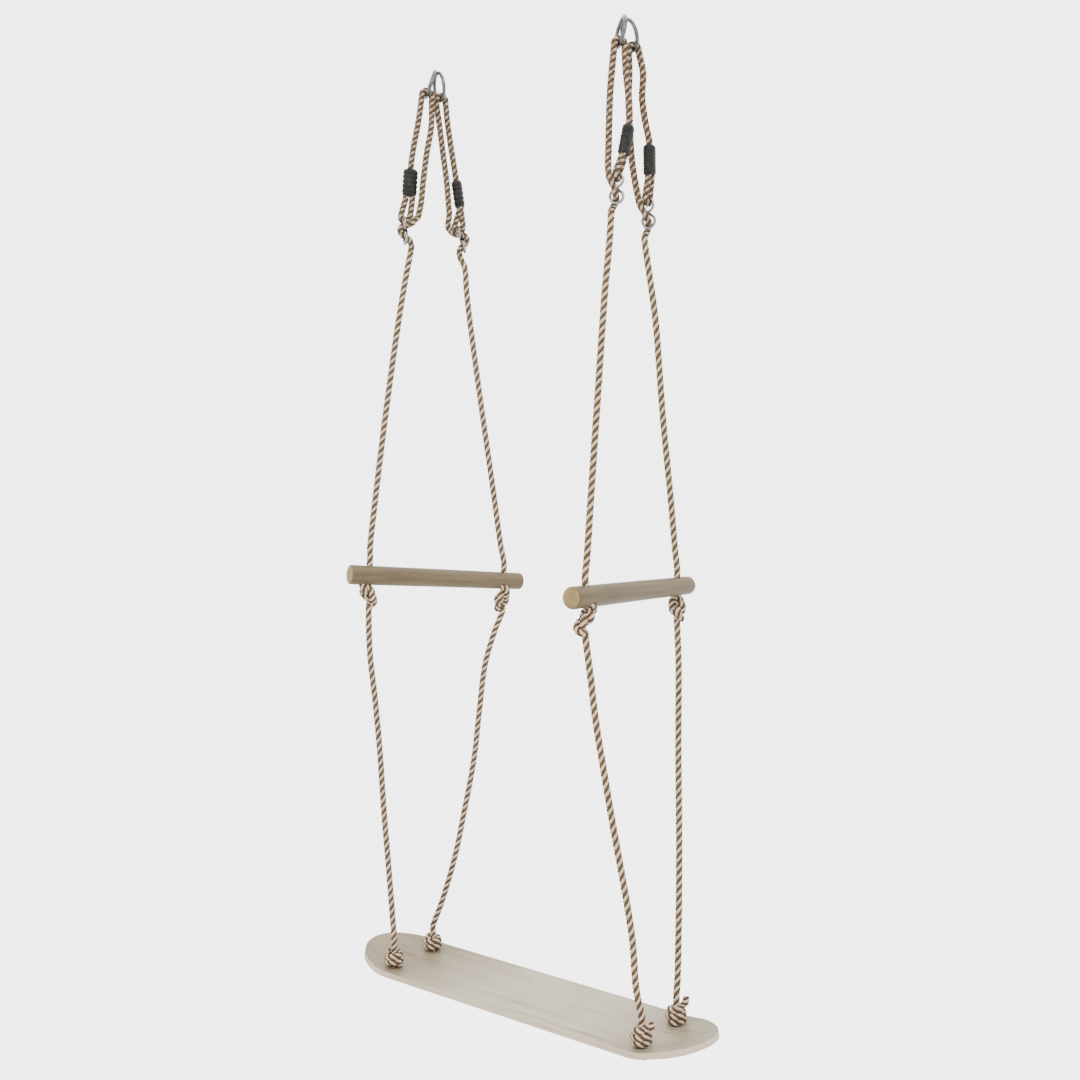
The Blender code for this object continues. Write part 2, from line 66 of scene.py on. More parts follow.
BAR_LENGTH = 0.355
BAR_R_NEAR = 0.0180
BAR_R_FAR = 0.0162
BAR_HOLE_OFFSET = 0.139

WIRE_R_RING = 0.00275
RING_R = 0.02475
RING_SPACING = 0.0031
BIGHT_R = 0.0094

WIRE_R_SLIDER = 0.0020
SLIDER_LOBE_R = 0.011
SLIDER_LOBE_Z = 0.013
SLIDER_CROSS = 0.0023
EYE_R = 0.0082

FERRULE_LENGTH = 0.050
FERRULE_HALF_THICK = 0.0100
FERRULE_HALF_WIDE = 0.0140
EYE_IN_FERRULE = 0.0061

# ---------------------------------------------------------------- looks
LONG_LAY = 0.029                  # rope along one turn of its strands, in the long runs
TIGHT_LAY = 0.022                 # the same in the loops, eyes and knots
STRANDS = 4
STRAND_R = 0.0027
STRAND_ORBIT = 0.0033             # a strand's middle from the rope's middle
BAR_KNOT_HALF = 0.019             # half of a knot's height
DECK_KNOT_HALF = 0.022
BAR_KNOT_ROPE = 140.0             # mm of rope in a bar knot
SKY = 4.5                         # brightness of the studio
TONE = 0.30                       # what colours are multiplied by to suit it
LENS = 1235.0 / 1080.0 * 36.0     # mm, for a sensor 36 mm wide

SIDES = {
    "left": {
        "hook": Vector((HOOK_LEFT_X, 0.0, 0.0)),
        "bar_centre": Vector((-0.2192, 0.0054, -0.9390)),
        "bar_yaw": math.radians(66.8),
        "bar_tilt": math.radians(-3.9),
    },
    "right": {
        "hook": Vector((HOOK_RIGHT_X, 0.0, 0.0)),
        "bar_centre": Vector((0.2245, 0.0030, -0.9430)),
        "bar_yaw": math.radians(90.0),
        "bar_tilt": 0.0,
    },
}

ROPES = {
    ("left", "near"): {
        "ring_foot": Vector((-0.2203, -0.0200, -0.0430)),
        "ring_yaw": math.radians(54.0),
        "slider": Vector((-0.2380, -0.0600, -0.2955)),
        "slider_axis": Vector((0.0, 0.0, 1.0)),
        "towards_yaw": math.radians(50.0),
        "beside": 0.0,
        "ferrule_top": Vector((-0.2350, -0.0480, -0.1805)),
        "ferrule_foot": Vector((-0.2355, -0.0520, -0.2310)),
        "ferrule_yaw": math.radians(50.0),
        "leg_outside": True,
        "leg": [(-0.2335, -0.0420, -0.140), (-0.2305, -0.0340, -0.100)],
        "main": [(-0.2100, -0.0190, -0.100), (-0.2145, -0.0275, -0.154), (-0.2165, -0.0350, -0.207),
                 (-0.2180, -0.0395, -0.246), (-0.2235, -0.0435, -0.272)],
        "upper": [(-0.2380, -0.0640, -0.400), (-0.2440, -0.0760, -0.478), (-0.2580, -0.0950, -0.644),
                  (-0.2680, -0.1110, -0.791), (-0.2730, -0.1200, -0.880)],
        "lower": [(-0.2815, -0.1140, -1.068), (-0.2790, -0.1030, -1.163), (-0.2775, -0.0930, -1.258),
                  (-0.2775, -0.0830, -1.373), (-0.2780, -0.0680, -1.509), (-0.2775, -0.0590, -1.605)],
    },
    ("left", "far"): {
        "ring_foot": Vector((-0.2140, 0.0116, -0.0450)),
        "ring_yaw": math.radians(62.0),
        "slider": Vector((-0.1935, 0.0465, -0.3000)),
        "slider_axis": Vector((-0.14, -0.20, 0.97)),
        "towards_yaw": math.radians(222.0),
        "beside": 0.0,
        "ferrule_top": Vector((-0.1970, 0.0350, -0.1910)),
        "ferrule_foot": Vector((-0.1935, 0.0415, -0.2410)),
        "ferrule_yaw": math.radians(298.0),
        "leg_outside": True,
        "leg": [(-0.2010, 0.0295, -0.148), (-0.2060, 0.0230, -0.095)],
        "main": [(-0.2155, 0.0100, -0.095), (-0.2125, 0.0160, -0.145), (-0.2075, 0.0200, -0.195),
                 (-0.2040, 0.0208, -0.235), (-0.2035, 0.0225, -0.258),
                 (-0.2087, 0.0244, -0.278)],
        "upper": [(-0.1905, 0.0570, -0.400), (-0.1870, 0.0690, -0.487), (-0.1790, 0.0910, -0.638),
                  (-0.1710, 0.1110, -0.772), (-0.1655, 0.1270, -0.880)],
        "lower": [(-0.1800, 0.1250, -1.049), (-0.1940, 0.1130, -1.114), (-0.2035, 0.1070, -1.203),
                  (-0.2130, 0.1010, -1.301), (-0.2280, 0.0900, -1.401), (-0.2450, 0.0780, -1.500),
                  (-0.2670, 0.0630, -1.590)],
    },
    ("right", "near"): {
        "ring_foot": Vector((0.2080, -0.0185, -0.0430)),
        "ring_yaw": math.radians(54.0),
        "slider": Vector((0.2105, -0.0290, -0.2800)),
        "slider_axis": Vector((0.0, 0.04, 1.0)),
        "towards_yaw": math.radians(288.0),
        "beside": 1.0,
        "ferrule_top": Vector((0.2240, -0.0130, -0.1730)),
        "ferrule_foot": Vector((0.2180, -0.0210, -0.2245)),
        "ferrule_yaw": math.radians(288.0),
        "leg_outside": False,
        "leg": [(0.2225, -0.0125, -0.130), (0.2180, -0.0135, -0.090)],
        "main": [(0.2005, -0.0290, -0.085), (0.1985, -0.0310, -0.120), (0.1985, -0.0340, -0.170),
                 (0.1995, -0.0370, -0.215)],
        "upper": [(0.2080, -0.0470, -0.375), (0.2090, -0.0600, -0.449), (0.2140, -0.0880, -0.629),
                  (0.2180, -0.1120, -0.790), (0.2225, -0.1290, -0.885)],
        "lower": [(0.2270, -0.1270, -1.061), (0.2330, -0.1190, -1.141), (0.2410, -0.1080, -1.222),
                  (0.2520, -0.0950, -1.320), (0.2640, -0.0810, -1.419), (0.2720, -0.0700, -1.502),
                  (0.2750, -0.0630, -1.585)],
    },
    ("right", "far"): {
        "ring_foot": Vector((0.2128, 0.0172, -0.0440)),
        "ring_yaw": math.radians(58.0),
        "slider": Vector((0.2130, 0.0625, -0.3040)),
        "slider_axis": Vector((0.0, -0.10, 0.99)),
        "towards_yaw": math.radians(276.0),
        "beside": 1.0,
        "ferrule_top": Vector((0.2220, 0.0510, -0.1920)),
        "ferrule_foot": Vector((0.2190, 0.0575, -0.2420)),
        "ferrule_yaw": math.radians(276.0),
        "leg_outside": True,
        "leg": [(0.2195, 0.0420, -0.155), (0.2175, 0.0355, -0.118), (0.2225, 0.0305, -0.080)],
        "main": [(0.2060, 0.0140, -0.080), (0.2020, 0.0180, -0.120), (0.1995, 0.0260, -0.170),
                 (0.1980, 0.0360, -0.225)],
        "upper": [(0.2110, 0.0710, -0.410), (0.2140, 0.0850, -0.482), (0.2170, 0.1060, -0.652),
                  (0.2215, 0.1250, -0.791), (0.2240, 0.1370, -0.885)],
        "lower": [(0.2360, 0.1290, -1.071), (0.2480, 0.1100, -1.225),
                  (0.2620, 0.0910, -1.394), (0.2710, 0.0750, -1.527), (0.2770, 0.0620, -1.610)],
    },
}


# ---------------------------------------------------------------- small helpers
def heading(yaw):
    return Vector((math.cos(yaw), math.sin(yaw), 0.0))


def link(obj):
    bpy.context.scene.collection.objects.link(obj)
    return obj


def mesh_object(name, verts, faces):
    mesh = bpy.data.meshes.new(name)
    mesh.from_pydata([tuple(v) for v in verts], [], faces)
    mesh.update()
    mesh.polygons.foreach_set("use_smooth", [True] * len(mesh.polygons))
    return link(bpy.data.objects.new(name, mesh))


def apply_modifiers(obj):
    graph = bpy.context.evaluated_depsgraph_get()
    mesh = bpy.data.meshes.new_from_object(obj.evaluated_get(graph))
    old = obj.data
    obj.modifiers.clear()
    obj.data = mesh
    bpy.data.meshes.remove(old)


def drill(obj, places, sides):
    """Cuts upright rope holes at these places."""
    cutters = []
    for place in places:
        bpy.ops.mesh.primitive_cylinder_add(vertices=sides, radius=HOLE_R, depth=0.06, location=place)
        cutters.append(bpy.context.object)
        hole = obj.modifiers.new("hole", "BOOLEAN")
        hole.operation = "DIFFERENCE"
        hole.solver = "EXACT"
        hole.object = cutters[-1]
    apply_modifiers(obj)
    for cutter in cutters:
        bpy.data.objects.remove(cutter, do_unlink=True)


def smooth_with_edges(obj, degrees):
    obj.data.polygons.foreach_set("use_smooth", [True] * len(obj.data.polygons))
    obj.data.set_sharp_from_angle(angle=math.radians(degrees))


def smooth_curve(points, step=0.001):
    """Points about step apart on a smooth curve through the given points, as part.py has them."""
    pts = [Vector(p) for p in points]
    pts = [2 * pts[0] - pts[1], *pts, 2 * pts[-1] - pts[-2]]
    curve = []
    for a, b, c, d in zip(pts, pts[1:], pts[2:], pts[3:]):
        ta, tb, tc = ((b - a).length ** 0.5, (c - b).length ** 0.5, (d - c).length ** 0.5)
        m1 = ((b - a) / ta - (c - a) / (ta + tb) + (c - b) / tb) * tb
        m2 = ((c - b) / tb - (d - b) / (tb + tc) + (d - c) / tc) * tb
        count = max(2, round((c - b).length / step))
        for i in range(count):
            t = i / count
            h1 = 2 * t**3 - 3 * t**2 + 1
            h2 = t**3 - 2 * t**2 + t
            h3 = -2 * t**3 + 3 * t**2
            h4 = t**3 - t**2
            curve.append(h1 * b + h2 * m1 + h3 * c + h4 * m2)
    curve.append(pts[-2])
    return curve


def path_length(pts):
    return float(np.linalg.norm(np.diff(pts, axis=0), axis=1).sum())


def running_length(pts):
    """The length of the path up to each of its points."""
    return np.concatenate([[0.0], np.cumsum(np.linalg.norm(np.diff(pts, axis=0), axis=1))])


def resampled(path, step):
    """The path as an array of evenly spaced points."""
    pts = np.array([tuple(p) for p in path], float)
    run = running_length(pts)
    keep = np.concatenate([[True], np.diff(run) > 1e-9])
    pts, run = pts[keep], run[keep]
    count = max(3, round(run[-1] / step) + 1)
    at = np.linspace(0.0, run[-1], count)
    return np.stack([np.interp(at, run, pts[:, k]) for k in range(3)], axis=1)


def rounded(pts, passes):
    """The points with small kinks smoothed away, ends kept."""
    pts = pts.copy()
    for _ in range(passes):
        pts[1:-1] += 0.25 * (pts[:-2] + pts[2:] - 2 * pts[1:-1])
    return pts


def tube_faces(rows, sides, base=0):
    """Faces of a tube of that many rows of points, with a closed face at both ends."""
    faces = []
    for i in range(rows - 1):
        for j in range(sides):
            a, b = base + i * sides + j, base + i * sides + (j + 1) % sides
            faces.append((a, b, b + sides, a + sides))
    last = base + (rows - 1) * sides
    faces.append(tuple(base + j for j in reversed(range(sides))))
    faces.append(tuple(last + j for j in range(sides)))
    return faces


def carried_frames(pts):
    """Unit tangents, and two unit normals carried along the path without twisting."""
    tangents = np.gradient(pts, axis=0)
    tangents /= np.linalg.norm(tangents, axis=1, keepdims=True)
    first = np.cross(tangents[0], (1.0, 0.0, 0.0) if abs(tangents[0][0]) < 0.9 else (0.0, 1.0, 0.0))
    normals = [first / np.linalg.norm(first)]
    for t in tangents[1:]:
        n = normals[-1] - t * np.dot(normals[-1], t)
        normals.append(n / np.linalg.norm(n))
    normals = np.array(normals)
    return tangents, normals, np.cross(tangents, normals)


# ---------------------------------------------------------------- laid rope
def strand_layout(mesh, strand_of, along, around):
    """Writes which colour a strand has, and a UV map that runs along and round it."""
    colour = mesh.attributes.new("strand", "FLOAT", "POINT")
    colour.data.foreach_set("value", np.array(strand_of, np.float32))
    uv = mesh.uv_layers.new(name="lay")
    loops = np.zeros(len(mesh.loops), np.int32)
    mesh.loops.foreach_get("vertex_index", loops)
    u = np.array(along)[loops] / 0.01
    v = np.array(around)[loops]
    starts = np.zeros(len(mesh.polygons), np.int32)
    totals = np.zeros(len(mesh.polygons), np.int32)
    mesh.polygons.foreach_get("loop_start", starts)
    mesh.polygons.foreach_get("loop_total", totals)
    for first, count in zip(starts, totals):
        corners = v[first:first + count]
        if count == 4 and corners.max() - corners.min() > 0.5:
            v[first:first + count] = np.where(corners < 0.5, corners + 1.0, corners)
    uv.data.foreach_set("uv", np.stack([u, v], axis=1).ravel().astype(np.float32))


def rope_mesh(name, path, start_dir=None, step=0.0014, sides=9, lay=LONG_LAY):
    """Laid rope along the path, as strands twisted round each other.

    start_dir carries the strands on from the last piece. It returns the object, the direction
    that its strands end in, and the points of its middle line.
    """
    pts = resampled(path, step)
    tangents, normals, across = carried_frames(pts)
    offset = 0.0
    if start_dir is not None:
        offset = math.atan2(float(np.dot(start_dir, across[0])), float(np.dot(start_dir, normals[0])))
    run = running_length(pts)
    turn = offset + 2 * math.pi * run / lay
    slope = 2 * math.pi * STRAND_ORBIT / lay
    verts, faces, strand_of, along, around = [], [], [], [], []
    for k in range(STRANDS):
        angle = turn + 2 * math.pi * k / STRANDS
        out = np.cos(angle)[:, None] * normals + np.sin(angle)[:, None] * across
        centre = pts + STRAND_ORBIT * out
        way = tangents + slope * np.cross(tangents, out)
        way /= np.linalg.norm(way, axis=1, keepdims=True)
        flank = np.cross(way, out)
        base = len(verts)
        for i in range(len(pts)):
            for j in range(sides):
                a = 2 * math.pi * j / sides
                bulge = STRAND_R * (1.0 + 0.05 * math.cos(2 * a))
                verts.append(centre[i] + bulge * (math.cos(a) * out[i] + math.sin(a) * flank[i]))
                strand_of.append(k % 2)
                along.append(run[i])
                around.append(j / sides)
        faces += tube_faces(len(pts), sides, base)
    obj = mesh_object(name, verts, faces)
    strand_layout(obj.data, strand_of, along, around)
    final = math.cos(turn[-1]) * normals[-1] + math.sin(turn[-1]) * across[-1]
    return obj, final, pts


def tightened(loose, reach, length, diameter, steps=900, count=100):
    """A knot's loose curve drawn up to this length of rope, with its ends at plus and minus reach."""
    pts = resampled(loose, 1.0)
    at = np.linspace(0, len(pts) - 1, count)
    pts = np.stack([np.interp(at, np.arange(len(pts)), pts[:, k]) for k in range(3)], axis=1)
    first_top, first_foot, full = pts[0].copy(), pts[-1].copy(), path_length(pts)
    apart = np.abs(np.arange(count)[:, None] - np.arange(count)[None, :])
    for k in range(steps):
        share = min(1.0, k / (0.85 * steps))
        rest = (full + (length - full) * share) / (count - 1)
        top = first_top + (np.array([0, 0, reach]) - first_top) * share
        foot = first_foot + (np.array([0, 0, -reach]) - first_foot) * share
        pts[1:-1] += 0.22 * (pts[:-2] + pts[2:] - 2 * pts[1:-1])
        for _ in range(4):
            seg = pts[1:] - pts[:-1]
            size = np.linalg.norm(seg, axis=1, keepdims=True) + 1e-9
            fix = 0.45 * (size - rest) / size * seg
            pts[:-1] += fix
            pts[1:] -= fix
            pts[0], pts[-1] = top, foot
            gap = pts[:, None] - pts[None, :]
            dist = np.linalg.norm(gap, axis=2) + 1e-9
            near = (apart * rest > 1.6 * diameter) & (dist < diameter)
            push = np.where(near, 0.5 * (diameter - dist) / dist, 0.0)
            move = (push[:, :, None] * gap).sum(axis=1)
            size = np.linalg.norm(move, axis=1, keepdims=True) + 1e-12
            pts += move * np.minimum(1.0, 0.1 * diameter / size)
        pts[0], pts[-1] = top, foot
    return pts


def overhand(reach, length, diameter):
    """An overhand knot in metres, drawn up in millimetres."""
    t = np.linspace(-2.25, 2.25, 800)
    loose = 12.0 * np.stack([t**4 - 4 * t**2 + 2.0, 1.5 * (t**5 / 5 - 2 * t), 3 * t - t**3], axis=1)
    return rounded(tightened(loose, reach, length, diameter), 3) / 1000


def centred(pts, tail=0.012):
    """The knot moved over its own axis, with its two ends left in place."""
    run = running_length(pts)
    share = np.clip(np.minimum(run, run[-1] - run) / tail, 0.0, 1.0)
    shift = 0.5 * (pts.max(axis=0) + pts.min(axis=0)) * (1.0, 1.0, 0.0)
    return pts - (share**2 * (3 - 2 * share))[:, None] * shift


def coil_knot(half, tail, turns=2.6, rise=0.0098):
    """Rope down the middle, then wound up round itself, with its tail out at the top."""
    low = -half + 0.0055
    pts = [(0, 0, z) for z in (half, half - 0.006, 0.010, 0.0, low + 0.006)]
    pts.append((0.003, 0.001, low))
    count = round(turns * 12)
    for i in range(count + 1):
        turn = 2 * math.pi * i / 12
        share = i / count
        out = 0.0078 + 0.0050 * math.sin(math.pi * min(1.0, 0.18 + 0.80 * share))
        pts.append((out * math.cos(turn), out * math.sin(turn), low + 0.001 + rise * turn / (2 * math.pi)))
    if tail:
        turn += math.radians(25)
        z = pts[-1][2]
        pts.append((0.0165 * math.cos(turn), 0.0165 * math.sin(turn), z + 0.006))
        pts.append((0.0200 * math.cos(turn + 0.2), 0.0200 * math.sin(turn + 0.2), z + 0.013))
    return np.array([tuple(p) for p in smooth_curve(pts)])


# ---------------------------------------------------------------- materials
def new_material(name):
    made = bpy.data.materials.new(name)
    made.use_nodes = True
    nodes, links = made.node_tree.nodes, made.node_tree.links
    return made, nodes, links, nodes["Principled BSDF"]


def ramp(nodes, links, source, stops):
    made = nodes.new("ShaderNodeValToRGB")
    while len(made.color_ramp.elements) < len(stops):
        made.color_ramp.elements.new(0.5)
    for spot, (place, colour) in zip(made.color_ramp.elements, stops):
        spot.position = place
        spot.color = (*colour, 1.0)
    links.new(source, made.inputs["Fac"])
    return made.outputs["Color"]


def noise(nodes, links, vector, scale, detail=4.0, roughness=0.6):
    made = nodes.new("ShaderNodeTexNoise")
    made.inputs["Scale"].default_value = scale
    made.inputs["Detail"].default_value = detail
    made.inputs["Roughness"].default_value = roughness
    links.new(vector, made.inputs["Vector"])
    return made.outputs["Fac"]


def stretched(nodes, links, vector, scale):
    made = nodes.new("ShaderNodeMapping")
    made.inputs["Scale"].default_value = scale
    links.new(vector, made.inputs["Vector"])
    return made.outputs["Vector"]


def math_node(nodes, links, operation, a, b=None):
    made = nodes.new("ShaderNodeMath")
    made.operation = operation
    for spot, value in zip(made.inputs, (a, b)):
        if value is None:
            continue
        if isinstance(value, (int, float)):
            spot.default_value = value
        else:
            links.new(value, spot)
    return made.outputs["Value"]


def mix_colour(nodes, links, mode, factor, a, b):
    made = nodes.new("ShaderNodeMix")
    made.data_type = "RGBA"
    made.blend_type = mode
    for spot, value in ((made.inputs["Factor"], factor), (made.inputs[6], a), (made.inputs[7], b)):
        if isinstance(value, tuple):
            spot.default_value = (*value, 1.0)
        elif isinstance(value, (int, float)):
            spot.default_value = value
        else:
            links.new(value, spot)
    return made.outputs[2]


def bump(nodes, links, shader, height, strength, distance):
    made = nodes.new("ShaderNodeBump")
    made.inputs["Strength"].default_value = strength
    made.inputs["Distance"].default_value = distance
    links.new(height, made.inputs["Height"])
    links.new(made.outputs["Normal"], shader.inputs["Normal"])


def toned(nodes, links, colour, share=1.0):
    """The colour at the strength that suits the bright studio."""
    return mix_colour(nodes, links, "MULTIPLY", 1.0, colour, (TONE * share,) * 3)


def rope_material(name, tone, flecks):
    """Two-colour laid rope. flecks is how far brown yarns break up the cream strands."""
    made, nodes, links, shader = new_material(name)
    strand = nodes.new("ShaderNodeAttribute")
    strand.attribute_name = "strand"
    lay = nodes.new("ShaderNodeUVMap")
    lay.uv_map = "lay"
    place = nodes.new("ShaderNodeTexCoord").outputs["Object"]
    split = nodes.new("ShaderNodeSeparateXYZ")
    links.new(lay.outputs["UV"], split.inputs["Vector"])
    twist = math_node(nodes, links, "MULTIPLY", split.outputs["X"], 7.0)
    round_it = math_node(nodes, links, "MULTIPLY", split.outputs["Y"], 5 * 2 * math.pi)
    yarn = math_node(nodes, links, "SINE", math_node(nodes, links, "SUBTRACT", round_it, twist))
    soft = noise(nodes, links, place, 420.0, 6.0)
    broad = noise(nodes, links, place, 60.0, 3.0)
    cream = ramp(nodes, links, soft, [(0.25, (0.48, 0.34, 0.20)), (0.5, (0.84, 0.68, 0.47)),
                                      (0.8, (0.98, 0.88, 0.70))])
    brown = ramp(nodes, links, soft, [(0.25, (0.050, 0.026, 0.012)), (0.55, (0.140, 0.073, 0.034)),
                                      (0.8, (0.27, 0.165, 0.080))])
    phase = math_node(nodes, links, "MULTIPLY", split.outputs["X"], 2 * math.pi / 0.62)
    beat = math_node(nodes, links, "SINE", phase)
    broken = math_node(nodes, links, "GREATER_THAN", beat, 0.15)
    fleck = math_node(nodes, links, "MULTIPLY", broken, flecks)
    cream = mix_colour(nodes, links, "MIX", fleck, cream, brown)
    colour = mix_colour(nodes, links, "MIX", strand.outputs["Fac"], cream, brown)
    # painted shade: the colour is darkened in the grooves between yarns, on top of the yarn bump
    groove = math_node(nodes, links, "ADD", math_node(nodes, links, "MULTIPLY", yarn, 0.5), 0.5)
    painted_groove_shade = ramp(nodes, links, groove, [(0.0, (0.55, 0.52, 0.50)), (0.6, (1.0, 1.0, 1.0))])
    colour = mix_colour(nodes, links, "MULTIPLY", 0.8, colour, painted_groove_shade)
    patchy = ramp(nodes, links, broad, [(0.3, (0.80, 0.79, 0.78)), (0.7, (1.0, 1.0, 1.0))])
    colour = mix_colour(nodes, links, "MULTIPLY", 1.0, colour, patchy)
    links.new(toned(nodes, links, colour, tone), shader.inputs["Base Color"])
    shader.inputs["Roughness"].default_value = 0.85
    shader.inputs["Specular IOR Level"].default_value = 0.15
    height = math_node(nodes, links, "ADD", yarn, math_node(nodes, links, "MULTIPLY", soft, 0.8))
    bump(nodes, links, shader, height, 0.6, 0.0005)
    return made


def wood_material(name, stops, axis_scale, rough, darker_ends=False):
    """Wood whose grain runs along local X."""
    made, nodes, links, shader = new_material(name)
    place = nodes.new("ShaderNodeTexCoord").outputs["Object"]
    grain = noise(nodes, links, stretched(nodes, links, place, axis_scale), 1.0, 6.0, 0.65)
    fibre = noise(nodes, links, stretched(nodes, links, place, (13.0, 260.0, 260.0)), 1.0, 4.0, 0.7)
    blotch = noise(nodes, links, place, 9.0, 3.0)
    both = math_node(nodes, links, "ADD", math_node(nodes, links, "MULTIPLY", grain, 0.65),
                     math_node(nodes, links, "MULTIPLY", fibre, 0.35))
    colour = ramp(nodes, links, both, stops)
    patchy = ramp(nodes, links, blotch, [(0.3, (0.84, 0.80, 0.74)), (0.65, (1.0, 1.0, 1.0))])
    colour = mix_colour(nodes, links, "MULTIPLY", 1.0, colour, patchy)
    # the deck top gets darker towards both ends, more the farther it is from x = 0.055, so the left end is
    # darkest
    if darker_ends:
        split = nodes.new("ShaderNodeSeparateXYZ")
        links.new(place, split.inputs["Vector"])
        along = math_node(nodes, links, "SUBTRACT", split.outputs["X"], 0.055)
        away = math_node(nodes, links, "ABSOLUTE", along)
        wander = math_node(nodes, links, "MULTIPLY", blotch, 0.12)
        ends_darkening = ramp(nodes, links, math_node(nodes, links, "ADD", away, wander),
                    [(0.16, (1.0, 1.0, 0.98)), (0.35, (0.55, 0.505, 0.40))])
        colour = mix_colour(nodes, links, "MULTIPLY", 1.0, colour, ends_darkening)
    links.new(toned(nodes, links, colour), shader.inputs["Base Color"])
    shader.inputs["Roughness"].default_value = rough
    shader.inputs["Specular IOR Level"].default_value = 0.25
    bump(nodes, links, shader, fibre, 0.25, 0.0004)
    return made


def metal_material(name, colour, rough):
    made, nodes, links, shader = new_material(name)
    place = nodes.new("ShaderNodeTexCoord").outputs["Object"]
    spots = noise(nodes, links, place, 180.0, 5.0)
    dark = tuple(c * 0.62 for c in colour)
    colour = ramp(nodes, links, spots, [(0.35, dark), (0.65, colour)])
    links.new(toned(nodes, links, colour), shader.inputs["Base Color"])
    shader.inputs["Metallic"].default_value = 1.0
    shader.inputs["Roughness"].default_value = rough
    bump(nodes, links, shader, spots, 0.25, 0.0003)
    return made


def rubber_material():
    made, nodes, links, shader = new_material("ferrule_look")
    place = nodes.new("ShaderNodeTexCoord").outputs["Object"]
    grit = noise(nodes, links, place, 600.0, 5.0)
    dust = noise(nodes, links, place, 110.0, 4.0)
    colour = ramp(nodes, links, dust, [(0.35, (0.010, 0.009, 0.007)), (0.7, (0.036, 0.032, 0.027))])
    links.new(toned(nodes, links, colour), shader.inputs["Base Color"])
    shader.inputs["Roughness"].default_value = 0.55
    shader.inputs["Specular IOR Level"].default_value = 0.08
    bump(nodes, links, shader, grit, 0.35, 0.0003)
    return made


ROPE = rope_material("laid_rope_look", 1.4, 0.0)
LOOP_ROPE = rope_material("loop_rope_look", 1.15, 0.65)
DECK_TOP = wood_material(
    "deck_top_look",
    [(0.33, (0.36, 0.265, 0.15)), (0.45, (0.64, 0.55, 0.40)), (0.70, (0.80, 0.73, 0.59))],
    (3.0, 60.0, 60.0), 0.55, darker_ends=True)
DECK_EDGE = wood_material(
    "deck_edge_look",
    [(0.25, (0.50, 0.37, 0.22)), (0.5, (0.76, 0.63, 0.44)), (0.8, (0.92, 0.82, 0.63))],
    (3.0, 90.0, 500.0), 0.6)
BAR = wood_material(
    "bar_look",
    [(0.28, (0.088, 0.058, 0.020)), (0.5, (0.165, 0.115, 0.046)), (0.78, (0.27, 0.195, 0.092))],
    (4.0, 110.0, 110.0), 0.6)
BAR_END = wood_material(
    "bar_end_look",
    [(0.25, (0.21, 0.135, 0.038)), (0.5, (0.36, 0.25, 0.084)), (0.8, (0.53, 0.395, 0.165))],
    (120.0, 120.0, 120.0), 0.7)
STEEL = metal_material("ring_look", (0.24, 0.24, 0.225), 0.32)
WIRE = metal_material("slider_look", (0.50, 0.515, 0.51), 0.26)
RUBBER = rubber_material()


# ---------------------------------------------------------------- deck
def deck_surface(along, across):
    run, side = abs(along), math.copysign(1.0, along)
    bend = min(max((run - DECK_FLAT_HALF) / KICK_RADIUS, 0.0), KICK_ANGLE)
    straight = max(run - DECK_FLAT_HALF - KICK_RADIUS * KICK_ANGLE, 0.0)
    x = min(run, DECK_FLAT_HALF) + KICK_RADIUS * math.sin(bend) + straight * math.cos(bend)
    z = KICK_RADIUS * (1 - math.cos(bend)) + straight * math.sin(bend)
    edge = max(abs(across) - CONCAVE_FLAT_HALF, 0.0) / (DECK_WIDTH / 2 - CONCAVE_FLAT_HALF)
    return Vector((side * x, across, DECK_TOP_Z + z + CONCAVE_RISE * edge * edge))


def add_deck():
    half = [(a, DECK_WIDTH / 2) for a in np.linspace(0.02, DECK_HALF - DECK_END - 0.003, 20)]
    for degrees in np.linspace(0, 87, 26):
        turn = math.radians(degrees)
        half.append((DECK_HALF - DECK_END * (1 - math.sin(turn)), DECK_WIDTH / 2 * math.cos(turn)))
    stations = [(-a, w) for a, w in reversed(half)] + half
    strips = np.sin(np.linspace(-math.pi / 2, math.pi / 2, 27))
    verts = [deck_surface(a, w * s) for a, w in stations for s in strips]
    width = len(strips)
    faces = []
    for i in range(len(stations) - 1):
        for j in range(width - 1):
            a = i * width + j
            faces.append((a, a + width, a + width + 1, a + 1))
    deck = mesh_object("deck_board", verts, faces)
    shell = deck.modifiers.new("thickness", "SOLIDIFY")
    shell.thickness = DECK_THICK
    shell.offset = -1.0
    shell.use_even_offset = True
    shell.material_offset_rim = 1
    deck.data.materials.append(DECK_TOP)
    deck.data.materials.append(DECK_EDGE)
    apply_modifiers(deck)
    bevel = deck.modifiers.new("rounding", "BEVEL")
    bevel.width = 0.0016
    bevel.segments = 3
    bevel.limit_method = "ANGLE"
    bevel.angle_limit = math.radians(50.0)
    apply_modifiers(deck)
    drill(deck, [(x, y, DECK_TOP_Z) for x in (-HOLE_X, HOLE_X) for y in (-HOLE_Y, HOLE_Y)], 32)
    smooth_with_edges(deck, 40.0)
    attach(deck, "deck")
    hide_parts("deck")


# ---------------------------------------------------------------- grip bars
def bar_axes(side):
    yaw, tilt = side["bar_yaw"], side["bar_tilt"]
    along = heading(yaw) * math.cos(tilt) + Vector((0, 0, math.sin(tilt)))
    across = Vector((-math.sin(yaw), math.cos(yaw), 0.0))
    return along, across.cross(along) * -1.0


def bar_hole(side, end):
    along, up = bar_axes(side)
    offset = -BAR_HOLE_OFFSET if end == "near" else BAR_HOLE_OFFSET
    share = 0.5 + offset / BAR_LENGTH
    return side["bar_centre"] + along * offset, up, BAR_R_NEAR + (BAR_R_FAR - BAR_R_NEAR) * share


